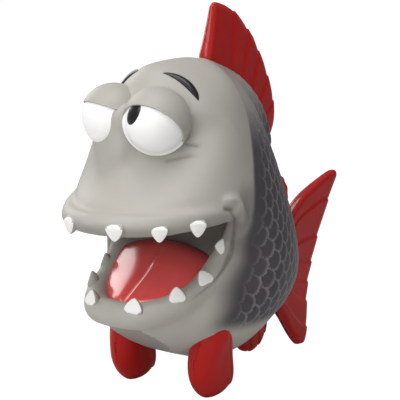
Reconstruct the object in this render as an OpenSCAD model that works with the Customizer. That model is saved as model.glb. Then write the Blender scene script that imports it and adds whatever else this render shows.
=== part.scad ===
// Comic fish squeaky toy: a hollow soft body with an open mouth, six fins and a squeaker.
// Millimetres. Z is up, the snout looks along -Y, and +X is the fish's own left side.

/* [Body] */
// width across the cheeks
body_w = 83; // [66:1:100]
// height of the crown above the floor
crown_h = 128.5; // [106:0.5:155]
// gap between the belly and the floor
belly_gap = 10; // [8:0.5:13]
// reach of the upper lip ahead of the middle of the body
snout_reach = 62.5; // [52:0.5:76]
// reach of the tail root behind the middle of the body
rump_reach = 60; // [50:0.5:72]
// thickness of the skin
wall = 2.4; // [1.8:0.1:3.2]

/* [Mouth] */
// radius of the rolled upper lip
upper_lip_r = 4.2; // [3.4:0.1:5]
// radius of the rolled lower lip
lower_lip_r = 5.4; // [4.4:0.1:6.4]
// width of a tooth at the gum
tooth_d = 6.2; // [4.8:0.1:7]
// height of a tooth above the gum
tooth_h = 5.4; // [4:0.1:6.6]
// depth of a tooth's root in the lip
tooth_root = 3; // [2:0.1:3.6]
// half the thickness of the tongue
tongue_r = 4; // [3:0.1:4.8]

/* [Eyes] */
// diameter of an eyeball
eye_d = 23.8; // [20:0.1:28]
// thickness of an upper lid
lid_t = 0.9; // [0.6:0.05:1.4]
// width of a pupil
pupil_w = 4.8; // [3.6:0.1:6]
// height of a pupil
pupil_h = 7.6; // [6:0.1:9]
// thickness of a brow
brow_d = 2.6; // [2:0.1:3.2]

/* [Fins] */
// thickness of the large fins at the root
fin_t = 6.4; // [5:0.1:8]
// thickness of the fins at the rim
fin_rim_t = 3; // [2:0.1:4]
// height of the dorsal fin's point above the crown
dorsal_rise = 20; // [15:0.5:25]
// reach of the tail's upper point behind the middle of the body
tail_reach = 92; // [80:0.5:108]
// height of the tail's upper point above the floor
tail_h = 73.6; // [62:0.5:86]
// thickness of a pectoral fin, which is a foot
foot_t = 8.6; // [7:0.1:10.4]
// length of a pectoral fin from front to back
foot_l = 20; // [17:0.5:24]
// height of the small stiff fin on the back
back_fin_h = 4.2; // [3.2:0.1:5.2]
// radius of a ray groove
ray_r = 0.7; // [0.4:0.1:1]

/* [Squeaker] */
// diameter of the squeaker's barrel
squeak_d = 13; // [11:0.1:15]
// length of the barrel behind its flange
squeak_l = 6.6; // [5.6:0.1:7.6]
// diameter of the shallow round recess in the throat
recess_d = 31; // [26:0.5:36]
// depth of that recess
recess_depth = 3.2; // [2.6:0.1:4]
// thickness of the reed
reed_t = 0.4; // [0.3:0.05:0.6]

/* [Fits] */
// gap round a bending fin's bead
bead_gap = 0.3; // [0.2:0.05:0.4]
// gap round pieces that are set into the skin
seat_gap = 0.15; // [0.1:0.05:0.25]
// gap between a fin's root edge and the skin
root_gap = 1; // [0.8:0.1:1.4]
// bend of a fin to either side that the slots make room for
fin_bend = 26; // [15:1:30]

/* [Hidden] */
$fn = 48;
grey = [0.73, 0.71, 0.68];
red = [0.66, 0.12, 0.12];
white = [0.95, 0.94, 0.92];
black = [0.06, 0.06, 0.06];
clear_plastic = [0.9, 0.9, 0.86];

body_h = crown_h - belly_gap;
frame_y = (snout_reach - tail_reach) / 2;
eye_r = eye_d / 2;
squeak_r = squeak_d / 2;

// the form's outline at each height, all in percent: [height, value]
front_pct = [[0, 6], [2, 20], [7, 46], [12, 63], [17, 75], [22, 82], [27, 86], [39, 92], [48, 97],
             [52.5, 100], [56.5, 90.5], [61.5, 80.5], [70, 72.5], [83, 67], [91, 58], [96, 51], [98.7, 42],
             [100, 20]];
rear_pct = [[0, 13], [1.3, 33], [4, 55], [10, 77], [17, 92], [24, 99], [30, 100], [40, 93], [55, 82],
            [67.5, 73], [76, 64], [84, 52], [91, 37], [96, 22], [98.7, 8], [100, -10]];
half_pct = [[0, 7], [1.3, 24], [4, 43], [8.5, 60], [17, 82], [25, 95], [34, 100], [42, 100], [52.5, 97.5],
            [62.5, 91.5], [72.5, 82], [83, 68.5], [91, 50.5], [96, 34], [98.7, 18], [100, 2.5]];
mid_pct = [[0, 10], [17, 13], [30, 8], [44, 9], [58, 17], [76, 22], [100, 14]];
// how far the front tapers to a narrow jaw, from a round ellipse at 0
jaw_pct = [[0, 0], [12, 10], [22, 40], [30, 100], [44, 100], [54, 0], [100, 0]];
jaw_power = 1.15;
slice_pct = [0.2, 1.2, 3.2, 6, 10, 14.5, 20, 26, 33, 40, 46, 50, 53.5, 57, 61.5, 67, 74, 81, 87, 92, 96,
             98.7, 99.9];
seat_fn = 16;

// smooth curve through [x, y] knots
function rise(k, i) =
    let (a = max(0, i - 1), b = min(len(k) - 1, i + 1)) (k[b].y - k[a].y) / (k[b].x - k[a].x);
function span(k, x) = max([for (i = [0:len(k) - 2]) if (k[i].x <= x || i == 0) i]);
function curve(k, x) =
    let (i = span(k, x), w = k[i + 1].x - k[i].x, t = min(1, max(0, (x - k[i].x) / w)))
    (1 + 2 * t) * pow(1 - t, 2) * k[i].y + t * pow(1 - t, 2) * w * rise(k, i)
    + t * t * (3 - 2 * t) * k[i + 1].y + t * t * (t - 1) * w * rise(k, i + 1);

function up(pct) = belly_gap + body_h * pct / 100;
function ahead(pct) = pct / 100 * (pct > 0 ? snout_reach : rump_reach);
function side(pct) = pct / 100 * body_w / 2;
function at(x, f, z) = [side(x), -ahead(f), up(z)];
function front_y(pct) = -ahead(curve(front_pct, pct));
function rear_y(pct) = rump_reach * curve(rear_pct, pct) / 100;
function mid_y(pct) = -ahead(curve(mid_pct, pct));
function half_x(pct) = side(curve(half_pct, pct));
function unit(v) = v / norm(v);

// one slice of the form: an ellipse or a tapered jaw ahead of its widest place, a wedge behind it
function taper(pct) = min(1, max(0, curve(jaw_pct, pct) / 100));
function bow(w, t) = sign(sin(t)) * ((1 - w) * abs(sin(t)) + w * (1 - pow(abs(cos(t)), jaw_power)));
function slice(pct, z, inset, quarter) =
    let (f = front_y(pct) + inset, r = rear_y(pct) - inset, m = min(r - 0.3, max(f + 0.3, mid_y(pct))),
         b = max(0.3, half_x(pct) - inset), w = taper(pct))
    [for (j = [0:4 * quarter - 1])
        let (t = 90 * j / quarter, s = sin(t <= 180 ? t - 90 : 270 - t))
        t <= 90 || t >= 270 ? [b * bow(w, t), m + (f - m) * cos(t), z]
        : [(t < 180 ? 1 : -1) * b * pow(max(0, cos(90 * s)), 1.2), m + (r - m) * s, z]];

module form(inset, quarter = 8) {
    n = 4 * quarter;
    tall = body_h - 2 * inset;
    rings = [for (p = slice_pct) slice(p, belly_gap + inset + tall * p / 100, inset, quarter)];
    last = len(rings) - 1;
    faces = concat(
        [[for (j = [0:n - 1]) j]],
        [[for (j = [n - 1:-1:0]) last * n + j]],
        [for (i = [0:last - 1], j = [0:n - 1])
            [i * n + j, (i + 1) * n + j, (i + 1) * n + (j + 1) % n]],
        [for (i = [0:last - 1], j = [0:n - 1])
            [i * n + j, (i + 1) * n + (j + 1) % n, i * n + (j + 1) % n]]);
    polyhedron([for (ring = rings) for (p = ring) p], faces);
}

module placed() translate([0, frame_y, 0]) children();
module both() {
    children();
    mirror([1, 0, 0]) children();
}
module facing(from, way) translate(from) rotate([0, acos(unit(way).z), atan2(way.y, way.x)]) children();
module on_x(width) rotate([90, 0, 90]) linear_extrude(width, center = true) children();

// middle lines of the two rolled lips, which rise and thin towards the corners of the mouth
upper_lip_pct = 52.5;
lip_in = upper_lip_r;
lip_end = 76;
corner_rise_pct = 3;
function upper_lip(a, inset) =
    [(half_x(upper_lip_pct) - inset) * sin(a),
     mid_y(upper_lip_pct) + (front_y(upper_lip_pct) + inset - mid_y(upper_lip_pct)) * cos(a),
     up(upper_lip_pct + corner_rise_pct * pow(sin(a), 4))];
function upper_lip_r_at(a) = upper_lip_r * (1 - 0.25 * pow(sin(a), 4));
lower_lip = [at(0, 78.4, 21.5), at(26.5, 74.4, 21.9), at(47, 59.2, 24.9), at(55, 43, 29.5),
             at(60, 30.5, 37.5), at(68.5, 27, 45), at(81, 33, 52.7)];
lower_lip_share = [1, 1, 0.92, 0.86, 0.78, 0.66, 0.45];

// side outline of the open mouth, above the lower lip's middle line and below the upper lip's
gap_front = -snout_reach * 1.3;
gap_line = concat([for (p = lower_lip) [p.y, p.z]],
                  [for (a = [lip_end - 1:-25:0]) let (p = upper_lip(a, lip_in + 0.4)) [p.y, p.z]],
                  [[gap_front, up(upper_lip_pct)], [gap_front, lower_lip[0].z]]);
// side outline of the deeper hollow behind the lips
pocket_line = [for (p = [[18, 50.5], [27, 56], [50, 57], [90, 56], [94, 48], [92, 25], [76, 19], [62, 22.5],
                         [46, 27.5], [34, 34.5], [23, 43]]) [-ahead(p.x), up(p.y)]];
pocket_in = 6;

module mouth() {
    on_x(2 * body_w) polygon(gap_line);
    intersection() {
        form(pocket_in, 6);
        on_x(2 * body_w) polygon(pocket_line);
    }
}
module mouth_block() {
    on_x(2 * body_w) offset(delta = wall) polygon(gap_line);
    on_x(2 * body_w) offset(delta = wall + tongue_r / 2) polygon(pocket_line);
}
module lip_ball(from, r) translate(from) sphere(r, $fn = 12);
module lips() {
    step = lip_end / 4;
    for (i = [-4:3])
        hull() {
            lip_ball(upper_lip(step * i, lip_in), upper_lip_r_at(step * i));
            lip_ball(upper_lip(step * (i + 1), lip_in), upper_lip_r_at(step * (i + 1)));
        }
    both()
        for (i = [0:len(lower_lip) - 2])
            hull() {
                lip_ball(lower_lip[i], lower_lip_r * lower_lip_share[i]);
                lip_ball(lower_lip[i + 1], lower_lip_r * lower_lip_share[i + 1]);
            }
}

// tongue: two lobes side by side with a groove between them
tongue_line = [at(11, 65, 25.5), at(16, 56, 28.8), at(20, 40, 35.5), at(17, 26, 43.5)];
module tongue_form(grow) {
    both()
        for (i = [0:len(tongue_line) - 2])
            hull() {
                translate(tongue_line[i]) scale([2, 1.1, 1]) sphere(tongue_r + grow, $fn = 14);
                translate(tongue_line[i + 1]) scale([2.2, 1.1, 1]) sphere(tongue_r + grow, $fn = 14);
            }
}
module tongue() color(red) placed() tongue_form(0);

// teeth: [angle round the upper lip], and [place on the lower lip, way the tooth points]
upper_teeth = [15, 37, 57];
lower_teeth = [[at(25, 78, 23), [0.05, -0.3, 1]], [at(47, 62, 26.4), [0, -0.2, 1]],
               [at(56, 44.5, 31), [-0.15, -0.35, 0.9]], [at(61.5, 30.5, 41), [-0.3, -0.75, 0.5]]];
module tooth_shape() {
    r = tooth_d / 2;
    tip_r = r * 0.42;
    translate([0, 0, -tooth_root]) cylinder(r = r, h = tooth_root);
    cylinder(r1 = r, r2 = tip_r, h = tooth_h - tip_r);
    translate([0, 0, tooth_h - tip_r]) sphere(tip_r);
}
module tooth_seat()
    translate([0, 0, -tooth_root - seat_gap])
        cylinder(r = (tooth_d / 2 + seat_gap) / cos(180 / seat_fn), h = tooth_root + tooth_h,
                 $fn = seat_fn);
module upper_place(i)
    facing(upper_lip(upper_teeth[i], lip_in) - [0, 0, upper_lip_r_at(upper_teeth[i]) * 0.6], [0, 0, -1])
        children();
module lower_place(i)
    facing(lower_teeth[i][0] + unit(lower_teeth[i][1]) * lower_lip_r * 0.36, lower_teeth[i][1]) children();
module upper_tooth_left(i) color(white) placed() upper_place(i) tooth_shape();
module upper_tooth_right(i) color(white) placed() mirror([1, 0, 0]) upper_place(i) tooth_shape();
module lower_tooth_left(i) color(white) placed() lower_place(i) tooth_shape();
module lower_tooth_right(i) color(white) placed() mirror([1, 0, 0]) lower_place(i) tooth_shape();

// eyes: the lid's edge lies in a plane [normal, distance from the eye's middle]
eye_at = at(25.8, 59.7, 82.3);
left_lid = [[-0.092, 0.735, 0.671], -0.24];
right_lid = [[0.103, 0.4, 0.911], 0.11];
left_gaze = [-0.064, -0.949, 0.309];
right_gaze = [-0.94, -0.3, 0.1];
lid_r = eye_r + seat_gap + lid_t;
big = 4 * eye_d;
module own_side(sign)
    translate([sign * (big / 2 + seat_gap / 2) - sign * eye_at.x, 0, 0]) cube(big, center = true);
module beyond(plane, shift)
    facing([0, 0, 0], plane[0])
        translate([0, 0, plane[1] * eye_r + shift + big / 2]) cube(big, center = true);
module eye_place(sign) placed() translate([sign * eye_at.x, eye_at.y, eye_at.z]) children();
module eyeball(sign)
    color(white) eye_place(sign) rotate([0, 90 * sign, 0]) rotate_extrude() intersection() {
        circle(eye_r);
        translate([0, seat_gap / 2 - eye_at.x]) square([eye_r, 2 * eye_r]);
    }
module eyelid(sign, plane)
    color(grey) eye_place(sign) intersection() {
        difference() {
            sphere(lid_r);
            sphere(eye_r + seat_gap);
        }
        own_side(sign);
        beyond(plane, 0);
    }
module pupil(sign, plane, gaze)
    color(black) eye_place(sign) difference() {
        intersection() {
            sphere(eye_r + 0.6);
            own_side(sign);
            facing([0, 0, 0], gaze)
                linear_extrude(eye_d) rotate(90) scale([pupil_w / 2, pupil_h / 2]) circle(1, $fn = 32);
        }
        sphere(eye_r + 0.05);
        beyond(plane, -seat_gap);
    }
module left_eye() eyeball(1);
module right_eye() eyeball(-1);
module left_eyelid() eyelid(1, left_lid);
module right_eyelid() eyelid(-1, right_lid);
module left_pupil() pupil(1, left_lid, left_gaze);
module right_pupil() pupil(-1, right_lid, right_gaze);

// brows: arcs that are half sunk into the forehead
brow_at = at(25.3, 60.2, 85.5);
brow_mid = at(33.3, 40.2, 93.8) - brow_at;
brow_end = at(14.2, 46.6, 96.5) - brow_at;
brow_axis = unit(cross(brow_end, brow_mid));
brow_sweep = 66;
module brow_shape(grow) {
    u = unit(brow_mid);
    v = cross(brow_axis, u);
    multmatrix([for (k = [0:2]) [u[k], v[k], brow_axis[k], brow_at[k]]])
        rotate(-brow_sweep / 2)
            rotate_extrude(angle = brow_sweep, $fn = 60)
                translate([norm(brow_mid), 0]) circle(brow_d / 2 + grow, $fn = 12);
}
module left_brow() color(black) placed() brow_shape(0);
module right_brow() color(black) placed() mirror([1, 0, 0]) brow_shape(0);

// each fin has a frame of its own: Y along its bead, Z out of the body
dorsal_pct = 89.5;
dorsal_turn = atan2(up(94.5) - up(82.7), rear_y(82.7) - rear_y(94.5));
tail_axis_y = rump_reach * 0.95;
tail_bead_pct = [14.5, 33];
tail_axis_z = up((tail_bead_pct[0] + tail_bead_pct[1]) / 2);
anal_pct = 3.2;
anal_turn = -162;
anal_t = fin_rim_t + 1.6;
foot_at = at(48.5, 26.9, 9.3);
foot_lean = 5;
module dorsal_frame()
    translate([0, rear_y(dorsal_pct), up(dorsal_pct)]) rotate([-dorsal_turn, 0, 0]) children();
module tail_frame() translate([0, tail_axis_y, tail_axis_z]) rotate([-90, 0, 0]) children();
module anal_frame() translate([0, rear_y(anal_pct), up(anal_pct)]) rotate([anal_turn, 0, 0]) children();
module foot_frame() translate(foot_at) rotate([0, 180 + foot_lean, 0]) children();

// bead radius and length of each fin
dorsal_bead = [fin_t / 2 + 0.4, 22];
tail_bead = [fin_t / 2 + 0.6, body_h * (tail_bead_pct[1] - tail_bead_pct[0]) / 100];
anal_bead = [fin_rim_t / 2 + 1.2, 12];
foot_bead = [foot_t / 2 + 0.3, foot_l * 0.62];
module bead(size) rotate([90, 0, 0]) cylinder(r = size[0], h = size[1], center = true);
// slot in the skin: round the bead, and a wedge that the bending fin sweeps
module slot(size, root_l, thick, bend, reach) {
    half = thick / 2 / cos(bend) + bead_gap;
    dip = thick / 2 * sin(bend) + bead_gap;
    wide = half + reach * tan(bend);
    rotate([90, 0, 0]) cylinder(r = size[0] + bead_gap, h = size[1] + 2 * bead_gap, center = true);
    rotate([90, 0, 0])
        linear_extrude(root_l, center = true)
            polygon([[-half, -dip], [half, -dip], [half, 0], [wide, reach], [-wide, reach], [-half, 0]]);
}
module boss(size, root_l) {
    long = root_l + 2 * wall;
    hull() {
        rotate([90, 0, 0]) cylinder(r = size[0] + bead_gap + wall, h = long, center = true, $fn = 20);
        translate([0, 0, size[0]])
            rotate([90, 0, 0]) cylinder(r = size[0] + 2 * wall, h = long, center = true, $fn = 20);
    }
}
// flat fin: an outline in [Y, Z] that tapers from the root to the rim
module blade(outline, thick, rim, height) {
    intersection() {
        on_x(2 * thick) polygon(outline);
        rotate([90, 0, 0])
            linear_extrude(6 * height, center = true)
                polygon([[-thick / 2, -height], [thick / 2, -height], [thick / 2, 0], [rim / 2, height],
                         [-rim / 2, height], [-thick / 2, 0]]);
    }
}
module groove(from, to, thick_from, thick_to)
    both()
        facing([thick_from / 2, from.x, from.y],
               [thick_to / 2 - thick_from / 2, to.x - from.x, to.y - from.y])
            cylinder(r = ray_r, h = norm(to - from), $fn = 12);

// outlines given in the side view [back, up] are turned into a fin's own frame
function turned(p, from, a) =
    let (d = p - from) [d.x * cos(a) + d.y * sin(a), d.y * cos(a) - d.x * sin(a)];
dorsal_from = [rear_y(dorsal_pct), up(dorsal_pct)];
dorsal_top = crown_h + dorsal_rise;
dorsal_side = concat(
    [for (p = [98.9, 98, 96.5, 94, 91, 87.5, 83, 78, 73.5])
        [rear_y(p) + root_gap * 0.7, up(p) + root_gap * 0.8]],
    [for (p = [[74, -72], [77.5, -45], [77, -12], [70, 15], [60.5, 39], [48.5, 63], [33.5, 83], [25, 93],
               [16, 100], [10, 88], [6, 55], [1.5, 8]])
        [rump_reach * p.x / 100, crown_h + dorsal_rise * p.y * (p.y > 0 ? 1 : body_h * 0.0059) / 100]]);
module dorsal_fin() {
    rim_z = 24 + dorsal_rise / 2;
    color(red) placed() dorsal_frame() {
        difference() {
            blade([for (p = dorsal_side) turned(p, dorsal_from, -dorsal_turn)], fin_t, fin_rim_t, rim_z);
            for (p = [[-17, -16], [-9, -4], [0, 8], [9, 18], [17, 25]])
                groove([p.x, 5], [p.y, rim_z], fin_t - (fin_t - fin_rim_t) * 5 / rim_z, fin_rim_t);
        }
        bead(dorsal_bead);
    }
}

tail_long = tail_reach - tail_axis_y;
tail_side = [[-0.5, 9], [-1, -9.5], [4, -20], [3, -34], [-4, -47], [2, -57], [16, -78], [26, -96],
             [30, -103], [38, -102], [44, -90], [47, -66], [46, -34], [50, -13], [57, 8], [66, 26],
             [84, 60], [100, 88], [100, 98], [92, 100], [70, 95], [45, 86], [22, 75], [4, 62], [2, 40], [7, 20]];
module tail_fin() {
    top = tail_h - tail_axis_z;
    outline = [for (p = tail_side) [-(p.y > 0 ? top : tail_axis_z) * p.y / 100, tail_long * p.x / 100]];
    color(red) placed() difference() {
        union() {
            tail_frame() blade(outline, fin_t, fin_rim_t, tail_long);
            tail_frame() bead(tail_bead);
        }
        tail_frame()
            for (p = [[-9, -34], [-6, -22], [-3, -9], [2, 4], [6, 17], [9, 28]])
                groove([p.x, tail_long * 0.22], [p.y, tail_long * (p.y > 0 ? 0.5 : 0.62)], fin_t * 0.88,
                       fin_t * 0.72);
        translate([-tail_reach, 0, -tail_reach]) cube([2 * tail_reach, 2 * tail_reach, tail_reach]);
    }
}

anal_side = [[-10.5, 2.2], [-9, 7], [-4, 9.6], [2, 9.8], [7, 7.6], [9.5, 4.4], [10, 1.4], [5, 0.6],
             [-5, 0.8]];
module anal_fin()
    color(red) placed() anal_frame() {
        blade(anal_side, anal_t, fin_rim_t * 0.7, 10);
        bead(anal_bead);
    }

// small fin on the back between the dorsal fin and the tail, seated like a brow
module back_fin_shape(grow) {
    r = fin_rim_t / 2;
    hull()
        for (p = [[54.5, 0.5], [52, back_fin_h - r], [48, back_fin_h - r], [44.5, 0.5]])
            translate([0, rear_y(p.x) + p.y, up(p.x)]) sphere(r + grow, $fn = 16);
}
module back_fin() color(red) placed() back_fin_shape(0);

foot_drop = foot_at.z / cos(foot_lean);
foot_side = [[-46, 2], [-50, 30], [-46, 60], [-33, 88], [-14, 106], [18, 106], [37, 88], [48, 62], [50, 30],
             [44, 2]];
module foot()
    difference() {
        foot_frame() {
            blade([for (p = foot_side) [foot_l * p.x, foot_drop * p.y] / 100], foot_t, foot_t * 0.75,
                  foot_drop);
            bead(foot_bead);
        }
        translate([-body_w, -body_w, -body_w]) cube([2 * body_w, 2 * body_w, body_w]);
    }
module left_pectoral_fin() color(red) placed() foot();
module right_pectoral_fin() color(red) placed() mirror([1, 0, 0]) foot();

// squeaker: its own Z points into the body from the throat's surface
throat_pct = 10.4;
throat_turn = -33;
flange_t = 1.2;
plate_t = 1.6;
tube_t = 1.1;
reed_w = 2.4;
reed_l = 6;
slot_gap = 0.35;
slot_w = reed_w + 2 * slot_gap;
module squeaker_frame()
    translate([0, front_y(throat_pct), up(throat_pct)])
        rotate([throat_turn, 0, 0]) translate([0, 0, recess_depth]) children();
module squeaker_housing()
    color(clear_plastic) placed() squeaker_frame() difference() {
        union() {
            translate([0, 0, -flange_t]) cylinder(r = squeak_r + 2, h = flange_t);
            cylinder(r = squeak_r, h = squeak_l);
        }
        translate([0, 0, 0.2]) cylinder(r = squeak_r - tube_t, h = squeak_l);
        translate([0, 0, -2 * flange_t]) cylinder(r = squeak_r * 0.4, h = 4 * flange_t);
    }
plate_z = 1.6;
module squeaker_plate()
    color(white) placed() squeaker_frame() translate([0, 0, plate_z]) difference() {
        cylinder(r = squeak_r - tube_t - 0.05, h = plate_t);
        translate([-slot_w / 2, -reed_l / 2, -1]) cube([slot_w, reed_l + slot_gap, plate_t + 2]);
        translate([0, -reed_l / 2, plate_t / 2])
            rotate([0, 90, 0]) cylinder(r = reed_t + 0.05, h = slot_w, center = true);
    }
module squeaker_reed()
    color(red) placed() squeaker_frame() translate([0, -reed_l / 2, plate_z + plate_t / 2]) {
        rotate([0, 90, 0]) cylinder(r = reed_t, h = reed_w, center = true);
        translate([-reed_w / 2, 0, -reed_t / 2]) cube([reed_w, reed_l, reed_t]);
    }
module squeaker_cap()
    color(clear_plastic) placed() squeaker_frame() difference() {
        union() {
            translate([0, 0, squeak_l]) cylinder(r = squeak_r, h = 1);
            translate([0, 0, squeak_l - 1.4]) cylinder(r = squeak_r - tube_t - 0.05, h = 1.4 + 0.2);
        }
        translate([0, 0, squeak_l - 3]) cylinder(r = squeak_r - tube_t - 1.2, h = 3);
        translate([0, 0, squeak_l - 3]) cylinder(r = 1.2, h = 6);
    }

// skin: the form with its lips, less the mouth, the hollow and every seat
module peduncle()
    hull() {
        translate([0, rump_reach * 0.86, up(18)]) sphere(fin_t, $fn = 24);
        translate([0, rump_reach * 0.86, up(30)]) sphere(fin_t, $fn = 24);
    }
module hollow()
    difference() {
        form(wall, 6);
        mouth_block();
        both() translate(eye_at) sphere(lid_r + wall, $fn = 20);
        dorsal_frame() boss(dorsal_bead, dorsal_bead[1]);
        tail_frame() boss(tail_bead, tail_bead[1]);
        anal_frame() boss(anal_bead, anal_bead[1]);
        both() foot_frame() boss(foot_bead, foot_l);
        squeaker_frame()
            translate([0, 0, -recess_depth])
                cylinder(r = recess_d / 2 + wall, h = recess_depth + wall, $fn = 40);
        squeaker_frame() cylinder(r = squeak_r + seat_gap + wall, h = squeak_l - 1.4, $fn = 40);
    }
module body_shell()
    color(grey) placed() difference() {
        union() {
            difference() {
                union() {
                    form(0);
                    peduncle();
                }
                mouth();
            }
            lips();
        }
        hollow();
        both() translate(eye_at) sphere((lid_r + seat_gap) / cos(180 / 24), $fn = 24);
        both() brow_shape(seat_gap);
        back_fin_shape(seat_gap);
        tongue_form(seat_gap);
        both() for (i = [0:2]) upper_place(i) tooth_seat();
        both() for (i = [0:3]) lower_place(i) tooth_seat();
        dorsal_frame() slot(dorsal_bead, dorsal_bead[1] + 26, fin_t, fin_bend * 0.7, 14);
        tail_frame() slot(tail_bead, tail_bead[1] + 22, fin_t, fin_bend, 12);
        anal_frame() slot(anal_bead, anal_bead[1] + 12, anal_t, fin_bend * 0.7, 10);
        both() foot_frame() slot(foot_bead, foot_l + 2, foot_t, fin_bend * 0.5, 14);
        squeaker_frame()
            translate([0, 0, -recess_depth - 8]) cylinder(r = recess_d / 2, h = recess_depth + 8);
        squeaker_frame() translate([0, 0, -1]) cylinder(r = squeak_r + seat_gap, h = squeak_l + 12);
    }

body_shell();
tongue();
left_eye();
right_eye();
left_eyelid();
right_eyelid();
left_pupil();
right_pupil();
left_brow();
right_brow();
for (i = [0:2]) {
    upper_tooth_left(i);
    upper_tooth_right(i);
}
for (i = [0:3]) {
    lower_tooth_left(i);
    lower_tooth_right(i);
}
dorsal_fin();
tail_fin();
anal_fin();
back_fin();
left_pectoral_fin();
right_pectoral_fin();
squeaker_housing();
squeaker_plate();
squeaker_reed();
squeaker_cap();
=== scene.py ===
# %% [markdown]
# # A comic fish squeaky toy
# The real toy is one hollow latex moulding: a grey fish that stands on its two pectoral fins and laughs.
# The imported CAD model gives the frame, the joints and every place. Each visible piece but the squeaker is
# remade here with more form, and each remade piece but the fins rides on the CAD body that it belongs to.

# %% Load the frame
import math

import bmesh
import bpy
import numpy as np
from mathutils import Matrix, Vector
from mathutils.bvhtree import BVHTree


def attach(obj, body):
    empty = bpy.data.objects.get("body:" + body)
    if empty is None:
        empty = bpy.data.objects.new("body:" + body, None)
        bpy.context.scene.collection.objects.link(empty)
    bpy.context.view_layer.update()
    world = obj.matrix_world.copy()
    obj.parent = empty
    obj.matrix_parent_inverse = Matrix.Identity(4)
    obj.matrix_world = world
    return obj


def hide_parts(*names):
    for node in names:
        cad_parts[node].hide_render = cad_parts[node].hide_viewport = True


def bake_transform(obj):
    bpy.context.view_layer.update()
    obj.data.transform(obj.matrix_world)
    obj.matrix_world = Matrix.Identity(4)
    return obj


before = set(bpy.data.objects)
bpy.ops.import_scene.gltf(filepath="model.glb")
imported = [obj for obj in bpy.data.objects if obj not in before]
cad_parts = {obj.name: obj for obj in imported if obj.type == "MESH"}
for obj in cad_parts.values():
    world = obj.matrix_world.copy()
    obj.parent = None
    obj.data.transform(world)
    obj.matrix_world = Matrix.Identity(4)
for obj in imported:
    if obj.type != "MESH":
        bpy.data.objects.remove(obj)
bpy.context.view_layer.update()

# %% [markdown]
# ## Working in the fish's own directions
# Places on the fish are easiest to think of as across (its left), ahead (of the middle of the body) and up,
# all in millimetres. One helper turns them into the frame's metres. The snout looks along -Y.

# %% Places in millimetres
MM = 0.001
MIDDLE_Y = -14.75


def spot(across, ahead, up):
    return Vector((across * MM, (MIDDLE_Y - ahead) * MM, up * MM))


def spots(rows):
    return [spot(*row) for row in rows]


def smooth_line(points, count):
    """Even samples on a smooth line through a few points."""
    p = np.array([list(q) for q in points], float)
    p = np.vstack([2 * p[0] - p[1], p, 2 * p[-1] - p[-2]])
    fine = []
    for i in range(1, len(p) - 2):
        for t in np.linspace(0, 1, 40, endpoint=False):
            a, b, c, d = p[i - 1], p[i], p[i + 1], p[i + 2]
            square = 2 * a - 5 * b + 4 * c - d
            cube = 3 * b - a - 3 * c + d
            fine.append(0.5 * (2 * b + (c - a) * t + square * t**2 + cube * t**3))
    fine = np.array(fine + [p[-2]])
    walked = np.concatenate([[0], np.cumsum(np.linalg.norm(np.diff(fine, axis=0), axis=1))])
    want = np.linspace(0, walked[-1], count)
    return np.stack([np.interp(want, walked, fine[:, k]) for k in range(fine.shape[1])], axis=1)


def soft_step(low, high, x):
    t = np.clip((x - low) / (high - low), 0, 1)
    return t * t * (3 - 2 * t)


# %% [markdown]
# ## Camera
# The photograph was taken from the fish's left front, a little above it, with a long lens. These numbers
# come from fitting the eyes, teeth and feet that repeat on both sides.

# %% Camera
AZIMUTH, ELEVATION, DISTANCE, LENS = 40, 10, 650, 149.8
target = spot(0, 0, 72)


def direction(azimuth, elevation):
    """The way to a place seen from the fish, in degrees; 0, 0 is straight ahead of its snout."""
    a, e = math.radians(azimuth), math.radians(elevation)
    return Vector((math.sin(a) * math.cos(e), -math.cos(a) * math.cos(e), math.sin(e)))


look = direction(AZIMUTH, ELEVATION)
camera = bpy.data.objects.new("camera", bpy.data.cameras.new("camera"))
bpy.context.scene.collection.objects.link(camera)
camera.location = target + look * DISTANCE * MM
camera.rotation_euler = look.to_track_quat("Z", "Y").to_euler()
camera.data.sensor_width = 36
camera.data.lens = LENS
camera.data.clip_start = 0.01
bpy.context.scene.camera = camera
print("camera at", [round(c, 3) for c in camera.location])

# %% [markdown]
# ## Small mesh helpers
# A bmesh becomes an object at the origin, so that a pattern on Object coordinates stays where it is.
# Modifiers that sculpt are applied at once, because later steps move the vertices that they make.


# %% Mesh helpers
def to_object(bm, name):
    bmesh.ops.recalc_face_normals(bm, faces=bm.faces)
    mesh = bpy.data.meshes.new(name)
    bm.to_mesh(mesh)
    bm.free()
    obj = bpy.data.objects.new(name, mesh)
    bpy.context.scene.collection.objects.link(obj)
    mesh.shade_smooth()
    return obj


def apply_all(obj):
    shaped = bpy.data.meshes.new_from_object(obj.evaluated_get(bpy.context.evaluated_depsgraph_get()))
    obj.modifiers.clear()
    old, obj.data = obj.data, shaped
    bpy.data.meshes.remove(old)


def cut(obj, tool, operation):
    change = obj.modifiers.new("cut", "BOOLEAN")
    change.operation = operation
    change.object = tool
    change.solver = "EXACT"
    bpy.context.view_layer.update()
    apply_all(obj)
    bpy.data.objects.remove(tool)


def whole(bm):
    return bm.verts[:] + bm.edges[:] + bm.faces[:]


def rub(bm, verts, passes):
    """Smooths as a thumb would, a little at each pass."""
    for _ in range(passes):
        bmesh.ops.smooth_vert(bm, verts=verts, factor=0.5, use_axis_x=True, use_axis_y=True, use_axis_z=True)


def read(obj, key="co"):
    values = np.empty(3 * len(obj.data.vertices))
    obj.data.vertices.foreach_get(key, values)
    return values.reshape(-1, 3)


def write(obj, places):
    obj.data.vertices.foreach_set("co", places.ravel())
    obj.data.update()


def store(obj, name, values):
    layer = obj.data.attributes.new(name, "FLOAT", "POINT")
    layer.data.foreach_set("value", np.asarray(values, np.float32))


def on_toy(piece, node, slot, *finishes):
    """Gives a piece its finishes and lets it ride the toy's body in place of a CAD node."""
    for material in finishes:
        piece.data.materials.append(material)
    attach(piece, "toy")
    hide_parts(node)


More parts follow.
